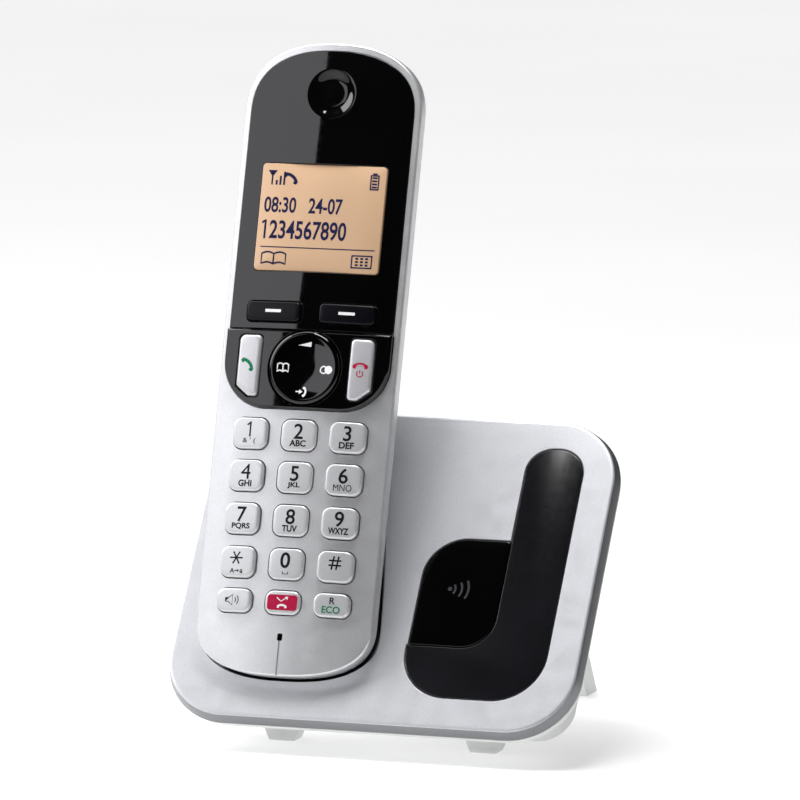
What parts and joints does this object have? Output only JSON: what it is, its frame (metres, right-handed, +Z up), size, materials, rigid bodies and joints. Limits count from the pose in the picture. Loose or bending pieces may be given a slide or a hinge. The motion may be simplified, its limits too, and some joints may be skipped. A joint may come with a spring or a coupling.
{
  "type": "cordless phone with base",
  "caption": "Slim cordless telephone handset with keypad, display and round navigator, standing in a sloping charging base with a locator button and an easel stand.",
  "frame": {"origin": "centre of the bounding box on the surface that the base stands on", "axes": "+X to the right as seen from the front, +Y to the rear, +Z up"},
  "size_m": [0.1084, 0.1086, 0.1728],
  "materials": {
    "silver_plastic": "satin silver paint",
    "silver_key": "satin silver paint",
    "black_gloss": "high gloss",
    "slate_gloss": "high gloss",
    "light_plastic": "fine satin",
    "dark_liner": "satin",
    "display_amber": "semi-matt polariser",
    "rubber": "matt",
    "circuit_board": "solder resist",
    "steel": "bright",
    "plated_contact": "bright plate",
    "cell_sleeve": "shrink sleeve",
    "black_component": "moulded"
  },
  "bodies": {
    "base": {"base_top_shell": "silver_plastic", "base_bottom_shell": "light_plastic", "cradle_pocket": "dark_liner", "inlay_strip": "slate_gloss", "locator_switch": "black_component", "base_board": "circuit_board", "base_antenna": "plated_contact", "line_socket": "black_component", "power_socket": "black_component", "rear_stand": "light_plastic", "front_foot_left": "light_plastic", "front_foot_right": "light_plastic", "base_screw_upper": "steel", "base_screw_lower": "steel"},
    "handset": {"front_case": "silver_plastic", "display_lens": "black_gloss", "nav_panel": "black_gloss", "rear_case": "silver_plastic", "handset_board": "circuit_board", "keypad_mat": "rubber", "display_module": "display_amber", "ear_speaker": "black_component", "ringer_speaker": "black_component", "microphone": "black_component", "battery_cell_left": "cell_sleeve", "battery_cell_right": "cell_sleeve", "battery_contact_lower": "plated_contact", "battery_contact_upper": "plated_contact", "charge_contact_left": "plated_contact", "charge_contact_right": "plated_contact", "handset_screw_left": "steel", "handset_screw_right": "steel"},
    "navigator_pivot": {"navigator_pivot": "black_component"},
    "navigator": {"navigator": "black_gloss"},
    "battery_cover": {"battery_cover": "silver_plastic"},
    "locator_button": {"locator_button": "black_gloss"},
    "charge_pin_left": {"charge_pin_left": "plated_contact"},
    "charge_pin_right": {"charge_pin_right": "plated_contact"},
    "key_1": {"key_1": "silver_key"},
    "key_2": {"key_2": "silver_key"},
    "key_3": {"key_3": "silver_key"},
    "key_4": {"key_4": "silver_key"},
    "key_5": {"key_5": "silver_key"},
    "key_6": {"key_6": "silver_key"},
    "key_7": {"key_7": "silver_key"},
    "key_8": {"key_8": "silver_key"},
    "key_9": {"key_9": "silver_key"},
    "key_star": {"key_star": "silver_key"},
    "key_0": {"key_0": "silver_key"},
    "key_hash": {"key_hash": "silver_key"},
    "key_speaker": {"key_speaker": "silver_key"},
    "key_block": {"key_block": "silver_key"},
    "key_recall": {"key_recall": "silver_key"},
    "soft_key_left": {"soft_key_left": "slate_gloss"},
    "soft_key_right": {"soft_key_right": "slate_gloss"},
    "key_talk": {"key_talk": "silver_key"},
    "key_off": {"key_off": "silver_key"}
  },
  "joints": [
    {"name": "handset_lift", "type": "slide", "parent": "base", "child": "handset", "axis": [0, 0.294, 0.9558], "range_m": [0, 0.07]},
    {"name": "key_1_press", "type": "slide", "parent": "handset", "child": "key_1", "axis": [0, 0.9558, -0.294], "range_m": [0, 0.0005], "stiffness_N_per_m": 2000},
    {"name": "key_2_press", "type": "slide", "parent": "handset", "child": "key_2", "axis": [0, 0.9558, -0.294], "range_m": [0, 0.0005], "stiffness_N_per_m": 2000},
    {"name": "key_3_press", "type": "slide", "parent": "handset", "child": "key_3", "axis": [0, 0.9558, -0.294], "range_m": [0, 0.0005], "stiffness_N_per_m": 2000},
    {"name": "key_4_press", "type": "slide", "parent": "handset", "child": "key_4", "axis": [0, 0.9558, -0.294], "range_m": [0, 0.0005], "stiffness_N_per_m": 2000},
    {"name": "key_5_press", "type": "slide", "parent": "handset", "child": "key_5", "axis": [0, 0.9558, -0.294], "range_m": [0, 0.0005], "stiffness_N_per_m": 2000},
    {"name": "key_6_press", "type": "slide", "parent": "handset", "child": "key_6", "axis": [0, 0.9558, -0.294], "range_m": [0, 0.0005], "stiffness_N_per_m": 2000},
    {"name": "key_7_press", "type": "slide", "parent": "handset", "child": "key_7", "axis": [0, 0.9558, -0.294], "range_m": [0, 0.0005], "stiffness_N_per_m": 2000},
    {"name": "key_8_press", "type": "slide", "parent": "handset", "child": "key_8", "axis": [0, 0.9558, -0.294], "range_m": [0, 0.0005], "stiffness_N_per_m": 2000},
    {"name": "key_9_press", "type": "slide", "parent": "handset", "child": "key_9", "axis": [0, 0.9558, -0.294], "range_m": [0, 0.0005], "stiffness_N_per_m": 2000},
    {"name": "key_star_press", "type": "slide", "parent": "handset", "child": "key_star", "axis": [0, 0.9558, -0.294], "range_m": [0, 0.0005], "stiffness_N_per_m": 2000},
    {"name": "key_0_press", "type": "slide", "parent": "handset", "child": "key_0", "axis": [0, 0.9558, -0.294], "range_m": [0, 0.0005], "stiffness_N_per_m": 2000},
    {"name": "key_hash_press", "type": "slide", "parent": "handset", "child": "key_hash", "axis": [0, 0.9558, -0.294], "range_m": [0, 0.0005], "stiffness_N_per_m": 2000},
    {"name": "key_speaker_press", "type": "slide", "parent": "handset", "child": "key_speaker", "axis": [0, 0.9558, -0.294], "range_m": [0, 0.0005], "stiffness_N_per_m": 2000},
    {"name": "key_block_press", "type": "slide", "parent": "handset", "child": "key_block", "axis": [0, 0.9558, -0.294], "range_m": [0, 0.0005], "stiffness_N_per_m": 2000},
    {"name": "key_recall_press", "type": "slide", "parent": "handset", "child": "key_recall", "axis": [0, 0.9558, -0.294], "range_m": [0, 0.0005], "stiffness_N_per_m": 2000},
    {"name": "soft_key_left_press", "type": "slide", "parent": "handset", "child": "soft_key_left", "axis": [0, 0.9558, -0.294], "range_m": [0, 0.0005], "stiffness_N_per_m": 2000},
    {"name": "soft_key_right_press", "type": "slide", "parent": "handset", "child": "soft_key_right", "axis": [0, 0.9558, -0.294], "range_m": [0, 0.0005], "stiffness_N_per_m": 2000},
    {"name": "key_talk_press", "type": "slide", "parent": "handset", "child": "key_talk", "axis": [0, 0.9558, -0.294], "range_m": [0, 0.0005], "stiffness_N_per_m": 2000},
    {"name": "key_off_press", "type": "slide", "parent": "handset", "child": "key_off", "axis": [0, 0.9558, -0.294], "range_m": [0, 0.0005], "stiffness_N_per_m": 2000},
    {"name": "navigator_rock_up_down", "type": "hinge", "parent": "handset", "child": "navigator_pivot", "pos_m": [-0.0225, -0.02563, 0.09245], "axis": [1, 0, 0], "range_deg": [-2, 2], "stiffness_Nm_per_rad": 0.3},
    {"name": "navigator_rock_sideways", "type": "hinge", "parent": "navigator_pivot", "child": "navigator", "pos_m": [-0.0225, -0.02563, 0.09245], "axis": [0, 0.294, 0.9558], "range_deg": [-2, 2], "stiffness_Nm_per_rad": 0.3},
    {"name": "battery_cover_off", "type": "slide", "parent": "handset", "child": "battery_cover", "axis": [0, 0.9558, -0.294], "range_m": [0, 0.006]},
    {"name": "locator_press", "type": "slide", "parent": "base", "child": "locator_button", "axis": [0, 0.8121, -0.5835], "range_m": [0, 0.0008], "stiffness_N_per_m": 1500},
    {"name": "charge_pin_left_press", "type": "slide", "parent": "base", "child": "charge_pin_left", "axis": [0, 0.8121, -0.5835], "range_m": [0, 0.0008], "stiffness_N_per_m": 400},
    {"name": "charge_pin_right_press", "type": "slide", "parent": "base", "child": "charge_pin_right", "axis": [0, 0.8121, -0.5835], "range_m": [0, 0.0008], "stiffness_N_per_m": 400}
  ]
}
